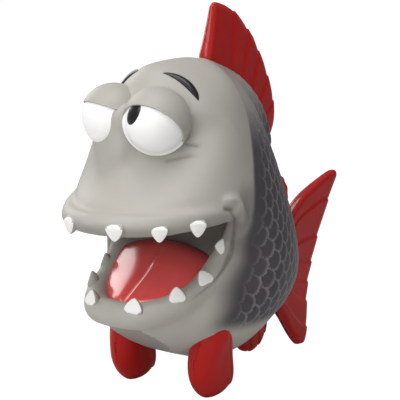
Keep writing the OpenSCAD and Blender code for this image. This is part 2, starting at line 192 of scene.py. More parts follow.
# %% [markdown]
# ## The body's form
# A sculptor would start from a plain lump. Here the lump is a stack of rings: each ring is a half ellipse
# ahead of its widest place and a wedge behind it, and four curves say how far it reaches at each height. A
# fifth one narrows the jaw. The rings are joined with bridge_loops. The knots are the same as in the CAD
# model, in percent of its sizes.

# %% The form's outline
SNOUT, RUMP, HALF, FLOOR_GAP, TALL = 62.5, 60, 41.5, 10, 118.5
FRONT = [[0, 6], [2, 20], [7, 46], [12, 63], [17, 75], [22, 82], [27, 86], [39, 92], [48, 97], [52.5, 100],
         [56.5, 90.5], [61.5, 80.5], [70, 72.5], [83, 67], [91, 58], [96, 51], [98.7, 42], [100, 20]]
REAR = [[0, 13], [1.3, 33], [4, 55], [10, 77], [17, 92], [24, 99], [30, 100], [40, 93], [55, 82], [67.5, 73],
        [76, 64], [84, 52], [91, 37], [96, 22], [98.7, 8], [100, -10]]
WIDE = [[0, 7], [1.3, 24], [4, 43], [8.5, 60], [17, 82], [25, 95], [34, 100], [42, 100], [52.5, 97.5],
        [62.5, 91.5], [72.5, 82], [83, 68.5], [91, 50.5], [96, 34], [98.7, 18], [100, 2.5]]
MID = [[0, 10], [17, 13], [30, 8], [44, 9], [58, 17], [76, 22], [100, 14]]
JAW = [[0, 0], [12, 10], [22, 40], [30, 100], [44, 100], [54, 0], [100, 0]]


def curve(knots, x):
    """A smooth curve through the knots, read at x."""
    k = np.array(knots, float)
    after, before = np.vstack([k[1:], k[-1:]]), np.vstack([k[:1], k[:-1]])
    rise = (after - before)[:, 1] / (after - before)[:, 0]
    i = max(0, min(len(k) - 2, int(np.searchsorted(k[:, 0], x, side="right")) - 1))
    w = k[i + 1, 0] - k[i, 0]
    t = min(1, max(0, (x - k[i, 0]) / w))
    return ((1 + 2 * t) * (1 - t) ** 2 * k[i, 1] + t * (1 - t) ** 2 * w * rise[i]
            + t * t * (3 - 2 * t) * k[i + 1, 1] + t * t * (t - 1) * w * rise[i + 1])


def reach(percent):
    return percent / 100 * (SNOUT if percent > 0 else RUMP)


def outline(height, angle, inset):
    """Across and ahead of the form's outline at a height in percent; angle 0 is the snout."""
    front = reach(curve(FRONT, height)) - inset
    rear = -RUMP * curve(REAR, height) / 100 + inset
    middle = max(rear + 0.3, min(front - 0.3, reach(curve(MID, height))))
    half = max(0.3, HALF * curve(WIDE, height) / 100 - inset)
    if abs(angle) <= math.pi / 2:
        narrow = min(1, max(0, curve(JAW, height) / 100))
        bow = (1 - narrow) * abs(math.sin(angle)) + narrow * (1 - math.cos(angle) ** 1.15)
        return math.copysign(half * bow, angle), middle + (front - middle) * math.cos(angle)
    back = math.sin(abs(angle) - math.pi / 2)
    across = half * max(0, math.cos(math.pi / 2 * back)) ** 1.2
    return math.copysign(across, angle), middle + (rear - middle) * back


def up(percent):
    return FLOOR_GAP + TALL * percent / 100


def at(across, ahead, height):
    return across / 100 * HALF, reach(ahead), up(height)


# %% Stack the rings
def ring_form(inset=0, rings=56, around=96):
    bm = bmesh.new()
    before = None
    for height in 50 - 49.9 * np.cos(np.linspace(0, math.pi, rings)):
        ring = bmesh.ops.create_circle(bm, segments=around, radius=1)["verts"]
        level = FLOOR_GAP + inset + (TALL - 2 * inset) * height / 100
        for v in ring:
            across, ahead = outline(height, math.atan2(v.co.x, -v.co.y), inset)
            v.co = spot(across, ahead, level)
        edges = list({e for v in ring for e in v.link_edges})
        if before is None:
            bmesh.ops.contextual_create(bm, geom=ring)
        else:
            bmesh.ops.bridge_loops(bm, edges=before + edges)
        before = edges
    bmesh.ops.contextual_create(bm, geom=ring)
    return bm


skin = to_object(ring_form(), "skin")
print("form has", len(skin.data.polygons), "faces")

# %% [markdown]
# ## The mouth
# The open mouth is cut out with a side outline pushed right across the body. Behind the lips the hollow
# goes on, but it keeps a wall's distance from the cheeks, so that cutter is a smaller copy of the form.

# %% Cut the mouth
LOWER_LIP = [at(0, 78.4, 21.5), at(26.5, 74.4, 21.9), at(47, 59.2, 24.9), at(55, 43, 29.5),
             at(60, 30.5, 37.5), at(68.5, 27, 45), at(81, 33, 52.7)]
UPPER_LIP_HEIGHT = 52.5
POCKET = [[18, 50.5], [27, 56], [50, 57], [90, 56], [94, 48], [92, 25], [76, 19], [62, 22.5], [46, 27.5],
          [34, 34.5], [23, 43]]
POCKET_WALL, SNOUT_CLEAR, SLAB_HALF = 6, 80, 60


def across_slab(side_outline):
    bm = bmesh.new()
    face = bm.faces.new([bm.verts.new(spot(-SLAB_HALF, ahead, z)) for ahead, z in side_outline])
    wall = bmesh.ops.extrude_face_region(bm, geom=[face])["geom"]
    moved = [v for v in wall if isinstance(v, bmesh.types.BMVert)]
    bmesh.ops.translate(bm, vec=(2 * SLAB_HALF * MM, 0, 0), verts=moved)
    return to_object(bm, "slab")


def upper_lip(angle, inset):
    """The upper lip's line; it rises towards the corners of the mouth."""
    across = (HALF * curve(WIDE, UPPER_LIP_HEIGHT) / 100 - inset) * math.sin(angle)
    middle, front = reach(curve(MID, UPPER_LIP_HEIGHT)), reach(curve(FRONT, UPPER_LIP_HEIGHT)) - inset
    height = UPPER_LIP_HEIGHT + 3 * math.sin(angle) ** 4
    return across, middle + (front - middle) * math.cos(angle), up(height)


gap_side = [(ahead, z) for _, ahead, z in LOWER_LIP]
gap_side += [upper_lip(math.radians(a), 4.6)[1:] for a in (75, 60, 45, 30, 15, 0)]
gap_side += [(SNOUT_CLEAR, up(UPPER_LIP_HEIGHT)), (SNOUT_CLEAR, LOWER_LIP[0][2])]
pocket = to_object(ring_form(POCKET_WALL, 40, 64), "pocket")
cut(pocket, across_slab([(reach(f), up(z)) for f, z in POCKET]), "INTERSECT")
cut(skin, across_slab(gap_side), "DIFFERENCE")
cut(skin, pocket, "DIFFERENCE")
print("mouth cut, form has", len(skin.data.polygons), "faces")

# %% [markdown]
# ## Adding clay
# The rolled lips, the domes behind the eyes, the bridge of the nose, the ridge of the back and the root of
# the tail are laid on like pellets of clay: small balls in a row, each overlapping the next. A voxel remesh
# then fuses lump and pellets to one skin, and smoothing passes take the edges off, as a thumb would.

# %% Lay on the clay
EYE, EYE_R = (10.7, 37.3, 107.5), 11.9
LIDS = {1: (Vector((-0.092, 0.735, 0.671)).normalized(), -3.04),
        -1: (Vector((0.103, 0.400, 0.911)).normalized(), 1.38)}
LIP_TURN = 76
LOWER_LIP_R = [[0, 5.4], [0.2, 5.4], [0.4, 5.0], [0.57, 4.5], [0.74, 3.6], [0.88, 2.8], [1, 2.2]]
NOSE_PAD = [[(-3.2, 40.0, 107.4), (-11.5, 39.3, 98.8)], [(-1.8, 40.4, 102.5), (-9.5, 39.8, 94)],
            [(-0.8, 41, 97), (-7, 40.5, 89)]]
RIDGE_DEEP = 2.8


def pellets(bm, line, radius):
    for i, place in enumerate(line):
        r = radius(i / (len(line) - 1)) if callable(radius) else radius
        bmesh.ops.create_icosphere(bm, subdivisions=2, radius=r * MM,
                                   matrix=Matrix.Translation(Vector(place)))


def dome(bm, centre, radius, way, above):
    """Adds the part of a ball beyond a plane that lies so many mm above the ball's middle."""
    ball = bmesh.new()
    bmesh.ops.create_uvsphere(ball, u_segments=48, v_segments=24, radius=radius * MM)
    bmesh.ops.bisect_plane(ball, geom=whole(ball), plane_co=way * above * MM, plane_no=-way, clear_outer=True)
    bmesh.ops.holes_fill(ball, edges=[e for e in ball.edges if e.is_boundary])
    bmesh.ops.translate(ball, vec=centre, verts=ball.verts)
    patch = bpy.data.meshes.new("dome")
    ball.to_mesh(patch)
    ball.free()
    bm.from_mesh(patch)
    bpy.data.meshes.remove(patch)


eye_centres = {1: spot(*EYE), -1: spot(-EYE[0], EYE[1], EYE[2])}
clay = bmesh.new()
clay.from_mesh(skin.data)
turns = np.radians(np.linspace(-LIP_TURN, LIP_TURN, 90))
rolled = [upper_lip(a, 4.0 - 0.9 * math.cos(a) ** 4) for a in turns]
pellets(clay, spots([(x, f, z - 1.1) for x, f, z in rolled]),
        lambda t: 4.3 - 1.4 * math.sin(math.radians(LIP_TURN * (2 * t - 1))) ** 4)
for side in (1, -1):
    lip = smooth_line(spots([(side * x, f, z) for x, f, z in LOWER_LIP]), 70)
    pellets(clay, lip, lambda t: float(np.interp(t, *zip(*LOWER_LIP_R))))
    way, drop = LIDS[side]
    dome(clay, eye_centres[side], EYE_R + 0.3, way, drop + 1.6)
for start, end in NOSE_PAD:
    pellets(clay, [spot(*place) for place in np.linspace(start, end, 9)], 7.4)
levels = np.linspace(98.5, 71, 40)
ridge = [spot(0, RIDGE_DEEP - RUMP * curve(REAR, h) / 100, up(h) - RIDGE_DEEP) for h in levels]
pellets(clay, ridge, lambda t: 3.9 + 1.8 * math.sin(math.pi * t))
pellets(clay, [spot(0, -51.6, z) for z in np.linspace(31.5, 45.5, 12)], 6)
bpy.data.objects.remove(skin)
skin = to_object(clay, "skin")
print("lump and pellets have", len(skin.data.polygons), "faces")

# %% Fuse and rub
VOXEL = 1.26
fuse = skin.modifiers.new("fuse", "REMESH")
fuse.mode = "VOXEL"
fuse.voxel_size = VOXEL * MM
bpy.context.view_layer.update()
apply_all(skin)
work = bmesh.new()
work.from_mesh(skin.data)
rub(work, work.verts, 4)
print("fused skin has", len(work.faces), "faces")

# %% [markdown]
# ## Sockets
# The eyes bulge: below and outside the near one the face lies further back. Vertices near the axis of an
# eye are pressed in along it, less the further away they are. The nose between the eyes is then rubbed
# smooth.

# %% Press the sockets in
SOCKET_DEPTH = {1: 5.4, -1: 0.6}
SOCKET_WIDE, SOCKET_CORE = 34, 11
look_out = Vector((0.55, -0.83, -0.1)).normalized()
for side, depth in SOCKET_DEPTH.items():
    axis = Vector((side * look_out.x, look_out.y, look_out.z))
    for v in work.verts:
        p = (v.co - eye_centres[side]) / MM
        off = (p - axis * p.dot(axis)).length
        if p.dot(axis) > -6 and off < SOCKET_WIDE:
            share = soft_step(SOCKET_WIDE, SOCKET_CORE, off) ** 1.5 * soft_step(6, -6, p.z)
            share *= soft_step(-4, SOCKET_CORE, side * v.co.x / MM)
            v.co -= axis * (depth * MM * float(share))
low, high = spot(-14, 200, 82), spot(14, 38, 105)
nose = [v for v in work.verts if all(low[k] < v.co[k] < high[k] for k in range(3))]
rub(work, nose, 16)
print("sockets pressed")

# %% [markdown]
# ## Finer clay where small relief goes
# Scales, creases and the rim of the throat's dish need smaller faces than the rest. Only the faces there
# are split, and smoothed once more.

# %% Split faces
FLANK_EDGE = [[14, 24], [26, 25], [35, 24], [41, 21.5], [55, 17], [73, 17.5], [88, 13], [102.6, 7.5],
              [113, 3.5], [119, 0], [126, -2.5]]


def flank_edge(z):
    """How far ahead the dark flank reaches at each height."""
    return np.interp(z, *zip(*FLANK_EDGE))


MOUTH_MIDDLE = spot(0, 30, 62)
DISH, DISH_R, DISH_DEEP = spot(0, 37.6, 22.6), 15.6, 2.0
dish_axis = Vector((0, -0.545, -0.839)).normalized()


def near_dish(co):
    """How far a place is from the dish's axis, and how far out along it, in mm."""
    rel = (np.asarray(co) - np.array(DISH)) / MM
    depth = rel @ np.array(dish_axis)
    return np.linalg.norm(rel - depth[:, None] * np.array(dish_axis), axis=1), depth


def fine_places(co, out):
    z, ahead, across = co[:, 2] / MM, MIDDLE_Y - co[:, 1] / MM, np.abs(co[:, 0] / MM)
    outside = ((co - np.array(MOUTH_MIDDLE)) * out).sum(1) > 0
    flank = outside & (ahead < flank_edge(z) + 2) & (z > 20) & (z < 126) & (np.abs(out[:, 0]) > 0.12)
    cheek = (ahead > 15) & (across > 18) & (z > 34) & (z < 84) & (out[:, 0] * co[:, 0] > 0) & (ahead < 44)
    corner = (ahead > 26) & (across > 13) & (across < 31) & (z > 91) & (z < 103) & (out[:, 1] < 0)
    radial, depth = near_dish(co)
    dish = (np.abs(radial - DISH_R) < 2.6) & (depth > -6) & (depth < 12) & (out @ np.array(dish_axis) > 0)
    return flank | cheek | corner | dish


work.faces.ensure_lookup_table()
middles = np.array([f.calc_center_median() for f in work.faces])
normals = np.array([f.normal for f in work.faces])
chosen = [f for f, keep in zip(work.faces, fine_places(middles, normals)) if keep]
bmesh.ops.subdivide_edges(work, edges=list({e for f in chosen for e in f.edges}), cuts=1, use_grid_fill=True)
near = list({v for f in chosen if f.is_valid for v in f.verts})
rub(work, near, 2)
bpy.data.objects.remove(skin)
skin = to_object(work, "skin")
print("skin has", len(skin.data.polygons), "faces after splitting")

# %% [markdown]
# ## Sculpting strokes
# Creases and folds are strokes: a line of points near the surface, a width and a height. Every vertex near
# the line moves along its normal, out for a fold and in for a crease, and less the further away it is.
# Creases are also kept in a mask, which darkens them as painted shade.

# %% Stroke tool
shade = np.zeros(len(skin.data.vertices))


def stroke(obj, line, width, height, fade):
    """Raises the surface along a line in mm, or with a negative height presses it in; fade is the share of
    tapering ends."""
    places, out = read(obj), read(obj, "normal")
    path = np.array([obj.closest_point_on_mesh(Vector(p))[1] for p in smooth_line(spots(line), 80)])
    low, high = path.min(0) - 3 * width * MM, path.max(0) + 3 * width * MM
    chosen = np.where(((places > low) & (places < high)).all(1))[0]
    gaps = np.linalg.norm(places[chosen, None, :] - path[None, :, :], axis=2)
    nearest = gaps.argmin(1)
    t = nearest / (len(path) - 1)
    strength = soft_step(0, fade[0], t) * soft_step(0, fade[1], 1 - t)
    share = strength * np.exp(-((gaps.min(1) / (width * MM)) ** 2))
    places[chosen] += out[chosen] * (height * MM * share)[:, None]
    write(obj, places)
    # Pressed-in creases also darken, as painted shade, through the shade mask.
    if height < 0:
        shade[chosen] = np.maximum(shade[chosen], share * min(1, -height / 1.3))


def both_sides(obj, line, width, height, fade):
    for side in (1, -1):
        stroke(obj, [(side * x, f, z) for x, f, z in line], width, height, fade)


# %% [markdown]
# ## Folds of the laugh
# A hooked fold of cheek stands above each corner of the mouth, a crease runs down outside the lower lip,
# two wrinkles leave each eye, and a short crease stands between the eyes. The underside of the upper lip
# and the inside of the mouth are darkened with painted shade. The throat has a round dish, also darkened
# with painted shade, and the squeaker sits behind its floor.

# %% Cheek folds, lip creases and wrinkles
LIP_CREASE = [(37.2, 26.6, 75), (35, 22.2, 71.5), (31.7, 18.8, 63.1), (29.4, 19.1, 55.2), (27.7, 24.9, 47.6),
              (25.4, 33.7, 42.7), (22.1, 41.2, 39.6)]
CHEEK_FOLD = [(34.8, 30.2, 78), (35.9, 26.6, 79.4), (37.2, 23.6, 78.8), (38.4, 21.8, 75), (36.5, 19.5, 68.8),
              (34.5, 17.6, 62)]
CHEEK_PIT = [(35.5, 29.8, 76.6), (36.6, 27.3, 76.3), (37.4, 25, 75.6)]
WRINKLES = [[(21.6, 35.8, 101.6), (24.2, 33.6, 100.6), (26.9, 31.2, 99.6)],
            [(15.5, 41.5, 95.4), (19.5, 39, 96.3), (23.4, 36, 97.1), (27, 32.6, 96.2)]]
BROW_CREASE = [(3.2, 45, 113.5), (2.6, 45.4, 110.5)]
above_lip = [upper_lip(math.radians(a), 3) for a in range(-72, 73, 12)]
stroke(skin, [(x, f, z + 5) for x, f, z in above_lip], 2.4, -0.3, (0.15, 0.15))
stroke(skin, [(x, f, z + 5.6) for x, f, z in above_lip[1:11]], 2.3, -0.6, (0.1, 0.6))
stroke(skin, [(x, f, z + 0.8) for x, f, z in above_lip], 1.7, 0.45, (0.1, 0.1))
shade[:] = 0
both_sides(skin, LIP_CREASE, 0.5, -1.2, (0.02, 0.45))
both_sides(skin, CHEEK_FOLD, 1.8, 2.0, (0.2, 0.5))
both_sides(skin, CHEEK_PIT, 0.8, -1.2, (0.3, 0.2))
for wrinkle in WRINKLES:
    both_sides(skin, wrinkle, 0.6, -0.65, (0.15, 0.4))
    both_sides(skin, [(x, f, z + 1.4) for x, f, z in wrinkle], 0.9, 0.35, (0.15, 0.4))
both_sides(skin, BROW_CREASE, 0.8, -0.6, (0.2, 0.2))
places, out = read(skin), read(skin, "normal")
ahead, z = MIDDLE_Y - places[:, 1] / MM, places[:, 2] / MM
# Painted shade under the upper lip; it goes into the shade mask with the inside of the mouth below.
under_lip_shade = soft_step(0.4, -0.5, out[:, 2]) * soft_step(64, 67, z) * soft_step(78, 74, z)
under_lip_shade *= soft_step(22, 30, ahead)
# Painted shade inside the mouth: surfaces that face the mouth's middle are darkened.
away = places - np.array(MOUTH_MIDDLE)
facing = (out * away).sum(1) / np.linalg.norm(away, axis=1)
inner = soft_step(0.05, -0.35, facing) * soft_step(24, 14, ahead)
shade = np.maximum(shade, np.maximum(0.8 * under_lip_shade, inner))
print("strokes done on", len(skin.data.vertices), "vertices")

# %% Throat dish
places = read(skin)
radial, depth = near_dish(places)
inside = (radial < DISH_R) & (depth > -DISH_DEEP) & (depth < 14)
drop = np.where(inside, (-DISH_DEEP - depth) * soft_step(DISH_R, DISH_R - 0.7, radial), 0)
write(skin, places + (drop * MM)[:, None] * np.array(dish_axis))
# Painted shade darkens the floor and wall of the dish.
shade[inside] = np.maximum(shade[inside], soft_step(DISH_R, DISH_R - 1.5, radial[inside]))
store(skin, "shade", shade)
print("throat dish takes in", int(inside.sum()), "vertices")

# %% [markdown]
# ## Scales
# Scales overlap like roof tiles and open backwards. At each vertex the front-most scale that covers it is
# the one that shows; it rises towards its free edge. The same sum gives two masks for the paint: how dark
# the airbrush is, and where the pale rim of a scale lies. Ahead of the airbrushed edge the cheek is darkened
# with painted shade, and towards the ridge of the back the slate fades, partly as lighter airbrush and
# partly as painted highlight.

# %% Scale relief and paint masks
SCALE_LONG, SCALE_TALL, SCALE_LIFT, SCALE_TILT = 4.0, 7.2, 0.6, math.radians(17)
places, out = read(skin), read(skin, "normal")
ahead, z = MIDDLE_Y - places[:, 1] / MM, places[:, 2] / MM
back_way = -ahead * math.cos(SCALE_TILT) - z * math.sin(SCALE_TILT)
rise_way = -ahead * math.sin(SCALE_TILT) + z * math.cos(SCALE_TILT)
lift = np.zeros(len(places))
rim = np.zeros(len(places))
free = np.ones(len(places), bool)
column = np.floor(back_way / SCALE_LONG).astype(int)
for step in (-2, -1, 0):
    for rise_by in (-1, 0, 1):
        col = column + step
        shift = np.where(col % 2 == 0, 0.0, 0.5)
        row = np.floor(rise_way / SCALE_TALL - shift + 0.5) + rise_by
        x = (back_way - col * SCALE_LONG) / (1.32 * SCALE_LONG)
        y = (rise_way - (row + shift) * SCALE_TALL) / (0.62 * SCALE_TALL)
        far = np.sqrt(x * x + np.abs(y) ** 3.4)
        covers = free & (far < 1) & (x > -0.2)
        lift = np.where(covers, 0.25 + 0.75 * np.clip(x, 0, 1), lift)
        rim = np.where(covers, soft_step(0.74, 0.96, far), rim)
        free &= ~covers
edge = flank_edge(z)
patch = soft_step(0, 9, edge - 2 - ahead) * soft_step(27, 33, z) * soft_step(126, 116, z)
patch *= soft_step(0.1, 0.35, np.abs(out[:, 0]))
write(skin, places + out * (SCALE_LIFT * MM * lift * patch)[:, None])
soft = np.interp(z, [40, 60, 85], [7, 4.5, 1.6])
crisp = np.clip((edge - ahead + soft) / (1.7 * soft), 0, 1)
# The slate fades towards the ridge of the back, partly as lighter airbrush and partly as painted highlight.
paint = crisp**2 * (3 - 2 * crisp) * (1 - 0.72 * soft_step(94, 119, z))
# Painted shade: the cheek ahead of the airbrushed edge is darkened.
painted_cheek_shade = 0.3 * soft_step(-30, -2, edge - ahead) * soft_step(52, 70, z) * soft_step(124, 110, z)
painted_cheek_shade += 0.26 * soft_step(-8, -6, edge - ahead) * soft_step(58, 64, z) * soft_step(87, 80, z)
# Inside the mouth less slate is laid on, and the shade mask darkens the grey there as painted shade.
paint = np.maximum(paint, painted_cheek_shade) * soft_step(25, 33, z) * (ahead < 40) * (1 - 0.4 * inner)
store(skin, "paint", paint)
store(skin, "rim", rim * patch)
print("dark paint covers", round(float((paint > 0.5).mean()), 3), "of the vertices")

# %% [markdown]
# ## Shader maths in plain Python
# A node tree for a finish is easier to read as sums. A Wire holds one socket; + and * add Math nodes, and
# its node method adds any other node.


# %% Wires
class Wire:
    def __init__(self, tree, socket=None):
        self.tree, self.socket = tree, socket

    def node(self, kind, settings=None, inputs=None, out=0):
        made = self.tree.nodes.new(kind)
        for key, value in (settings or {}).items():
            setattr(made, key, value)
        for key, value in (inputs or {}).items():
            if isinstance(value, Wire):
                self.tree.links.new(value.socket, made.inputs[key])
            else:
                made.inputs[key].default_value = value
        return Wire(self.tree, made.outputs[out])

    def maths(self, operation, a, b):
        return self.node("ShaderNodeMath", {"operation": operation}, {0: a, 1: b})

    def __add__(self, other):
        return self.maths("ADD", self, other)

    def __mul__(self, other):
        return self.maths("MULTIPLY", self, other)

    __radd__, __rmul__ = __add__, __mul__


def tint(red, green, blue):
    """A colour as read off a screen, 0 to 255, as the linear numbers that shaders use."""
    shares = [c / 255 for c in (red, green, blue)]
    linear = [c / 12.92 if c <= 0.04045 else ((c + 0.055) / 1.055) ** 2.4 for c in shares]
    return (*linear, 1)


def finish(name, **constants):
    """A new material with its Principled shader; constants are set on the shader's own sockets."""
    material = bpy.data.materials.new(name)
    material.use_nodes = True
    shader = material.node_tree.nodes["Principled BSDF"]
    for key, value in constants.items():
        shader.inputs[key.replace("_", " ")].default_value = value
    return material, shader, Wire(material.node_tree)


def plug(shader, **wires):
    for key, wire in wires.items():
        wire.tree.links.new(wire.socket, shader.inputs[key.replace("_", " ")])


def blotches(start, scale, detail):
    place = start.node("ShaderNodeTexCoord", out="Object")
    return start.node("ShaderNodeTexNoise", None, {"Vector": place, "Scale": scale, "Detail": detail})


def mask(start, name):
    return start.node("ShaderNodeAttribute", {"attribute_name": name}, out="Fac")


def mix(start, amount, a, b):
    return start.node("ShaderNodeMix", {"data_type": "RGBA"}, {0: amount, 6: a, 7: b}, out=2)


def bumps(start, height, distance, strength):
    return start.node("ShaderNodeBump", None, {"Height": height, "Distance": distance, "Strength": strength})


# %% [markdown]
# ## Latex skin
# Grey latex has a soft sheen and tiny unevenness. The flank is airbrushed slate with a soft edge, and the
# scales' rims are paler, partly as rubbed wear and partly as painted highlight. The two masks made with the
# scales steer the colour, and the shade mask darkens it as painted shade in creases and hollows.

# %% Skin finish
skin_finish, shader, w = finish("grey_latex", Specular_IOR_Level=0.42)
paint_mask = mask(w, "paint")
rim_wear_and_highlight = mask(w, "rim")
mottle = blotches(w, 60, 3)
grain = blotches(w, 2400, 2)
grey = mix(w, mottle, tint(169, 165, 157), tint(178, 175, 168))
slate = mix(w, mottle, tint(57, 52, 57), tint(68, 63, 68))
# The scales' rims are paler, partly as rubbed wear and partly as painted highlight.
dark = mix(w, rim_wear_and_highlight * 0.62, slate, tint(140, 136, 139))
# The shade mask mixes in dark brown: painted shade in creases, under the upper lip, inside the mouth and in
# the dish.
crease = mask(w, "shade")
plug(shader, Base_Color=mix(w, crease * 0.4, mix(w, paint_mask, grey, dark), tint(80, 74, 68)),
     Roughness=0.44 + mottle * 0.12,
     Normal=bumps(w, grain, 0.00006, 0.5))
on_toy(skin, "body_shell", "skin", skin_finish)
print("skin finished")

# %% [markdown]
# ## Eyeballs
# Each eyeball is a ball cut flat where the two meet. Low down, where it leaves the face, a thin rim stands
# up like a lower lid, so vertices close to the skin are pushed out a little; a BVH tree of the skin
# measures how close they are.

# %% Eyeballs
white_paint, shader, w = finish("white_paint", Specular_IOR_Level=0.4)
mottle = blotches(w, 90, 3)
plug(shader, Base_Color=mix(w, mottle, tint(251, 250, 249), tint(254, 253, 252)),
     Roughness=0.34 + mottle * 0.12,
     Normal=bumps(w, blotches(w, 500, 2), 0.00008, 0.4))
faces = [list(p.vertices) for p in skin.data.polygons]
skin_tree = BVHTree.FromPolygons([v.co.copy() for v in skin.data.vertices], faces)
EYE_GAP = 0.08
EYE_RIM = {1: 0.8, -1: 0.2}


def above_skin(place):
    """Height over the skin in mm; below zero inside it."""
    near, normal, _, _ = skin_tree.find_nearest(place)
    return (place - near).dot(normal) / MM


def own_half(bm, side):
    """Cuts a shape at the middle of the face, so that the two eyes don't meet, and gives the cut's edges."""
    made = bmesh.ops.bisect_plane(bm, geom=whole(bm), plane_co=(side * EYE_GAP * MM, 0, 0),
                                  plane_no=(-side, 0, 0), clear_outer=True)
    return [e for e in made["geom_cut"] if isinstance(e, bmesh.types.BMEdge)]


for side, word in ((1, "left"), (-1, "right")):
    bm = bmesh.new()
    bmesh.ops.create_uvsphere(bm, u_segments=200, v_segments=112, radius=EYE_R * MM,
                              matrix=Matrix.Translation(eye_centres[side]))
    for v in bm.verts:
        way = (v.co - eye_centres[side]).normalized()
        high = above_skin(v.co)
        rim_here = float(soft_step(2.3, 1.6, high) * soft_step(0.35, 0, way.z))
        v.co += way * EYE_RIM[side] * MM * rim_here
    bmesh.ops.holes_fill(bm, edges=own_half(bm, side))
    eyeball = to_object(bm, word + "_eyeball")
    on_toy(eyeball, word + "_eye", "eye_white", white_paint)
print("eyeballs done")

# %% [markdown]
# ## Upper lids
# A lid is a thin cap over the ball. The ball's pole is turned to the lid's own direction, so one
# bisect_plane makes the drooping edge; solidify gives it thickness and a bevel rounds the rim. The near lid
# hangs lower than the far one.

# %% Upper lids
LID_R, LID_T = 12.75, 0.78
for side, word in ((1, "left"), (-1, "right")):
    way, drop = LIDS[side]
    turn = way.to_track_quat("Z", "Y").to_matrix().to_4x4()
    bm = bmesh.new()
    bmesh.ops.create_uvsphere(bm, u_segments=80, v_segments=56, radius=LID_R * MM, matrix=turn)
    bmesh.ops.bisect_plane(bm, geom=whole(bm), plane_co=way * drop * MM, plane_no=-way, clear_outer=True)
    bmesh.ops.translate(bm, vec=eye_centres[side], verts=bm.verts)
    own_half(bm, side)
    lid = to_object(bm, word + "_lid")
    thick = lid.modifiers.new("thickness", "SOLIDIFY")
    thick.thickness, thick.offset = LID_T * MM, -1
    soften = lid.modifiers.new("rim", "BEVEL")
    soften.width, soften.segments, soften.limit_method = 0.3 * MM, 3, "ANGLE"
    bpy.context.view_layer.update()
    apply_all(lid)
    lid.data.shade_smooth()
    on_toy(lid, word + "_eyelid", "lid_grey", skin_finish)
print("lids done")

# %% [markdown]
# ## Pupils and brows
# These are drops of glossy black paint with some body. Both start as a ball: one is flattened and wrapped
# round the eyeball, the other is drawn out along an arc on the forehead, thin at both ends.

# %% Pupils
black_paint, shader, w = finish("black_paint", Specular_IOR_Level=0.3, Coat_Weight=0.2)
mottle = blotches(w, 300, 3)
plug(shader, Base_Color=mix(w, mottle, tint(14, 13, 13), tint(26, 25, 25)), Roughness=0.22 + mottle * 0.2)
GAZE = {1: (Vector((-0.156, -0.937, 0.314)), -0.42), -1: (Vector((-0.94, -0.3, 0.1)), 0.1)}
PUPIL_W, PUPIL_H, PUPIL_T = 3.2, 4.6, 0.38
for side, word in ((1, "left"), (-1, "right")):
    way, lean = GAZE[side]
    way = way.normalized()
    level = Vector((0, 0, 1)).cross(way).normalized()
    tip = Matrix.Rotation(lean, 3, way)
    level, steep = tip @ level, tip @ way.cross(level)
    bm = bmesh.new()
    bmesh.ops.create_uvsphere(bm, u_segments=40, v_segments=20, radius=1)
    for v in bm.verts:
        a, b, c = v.co
        round_way = (way + (level * a * PUPIL_W + steep * b * PUPIL_H) / EYE_R).normalized()
        v.co = eye_centres[side] + round_way * (EYE_R + PUPIL_T * c) * MM
    pupil = to_object(bm, word + "_pupil_drop")
    on_toy(pupil, word + "_pupil", "black_paint", black_paint)
print("pupils done")

# %% Brows
BROW_AT, BROW_R, BROW_HALF = (10.5, 37.6, 111.3), 16.3, math.radians(33)
BROW_MID, BROW_W, BROW_T = (13.8, 25.1, 121.1), 1.75, 0.95
BROW_SIZE = {1: 1, -1: 1.35}
for side, word in ((1, "left"), (-1, "right")):
    centre = spot(side * BROW_AT[0], *BROW_AT[1:])
    axis = Vector((side * 0.544, -0.603, 0.583)).normalized()
    mid = spot(side * BROW_MID[0], *BROW_MID[1:]) - centre
    mid = (mid - axis * mid.dot(axis)).normalized()
    bm = bmesh.new()
    bmesh.ops.create_uvsphere(bm, u_segments=20, v_segments=48, radius=1)
    for v in bm.verts:
        a, b, t = v.co
        thin = max(0.0, 1 - t * t) ** 0.3 * (1 - 0.22 * t * side) * BROW_SIZE[side]
        radial = (Matrix.Rotation(t * BROW_HALF, 3, axis) @ mid).normalized()
        place = centre + radial * (BROW_R + BROW_W * a * thin) * MM
        on_skin, normal, _, _ = skin_tree.find_nearest(place)
        v.co = on_skin + normal * (BROW_T * b * thin) * MM
    brow = to_object(bm, word + "_brow_arc")
    on_toy(brow, word + "_brow", "black_paint", black_paint)
print("brows done")

# %% [markdown]
# ## Teeth
# A tooth is a blunt nub of the grey latex whose outer face is flattened and touched with white paint. One
# profile is spun to a nub, flattened on its outer side, and set along the lips.

# %% Tooth maker
tooth_white, shader, w = finish("tooth_white", Specular_IOR_Level=0.4)
mottle = blotches(w, 220, 3)
plug(shader, Base_Color=mix(w, mottle, tint(236, 234, 230), tint(246, 245, 242)),
     Roughness=0.4 + mottle * 0.15,
     Normal=bumps(w, blotches(w, 700, 2), 0.00012, 0.5))
NUB = [(0.01, -1.8), (2.2, -1.8), (3.1, -0.7), (3.65, 0.5), (3.45, 1.6), (2.8, 2.8), (1.95, 3.9), (1.0, 4.85),
       (0.01, 5.35)]
FACE_AT, FACE_BULGE = 0.9, 0.16


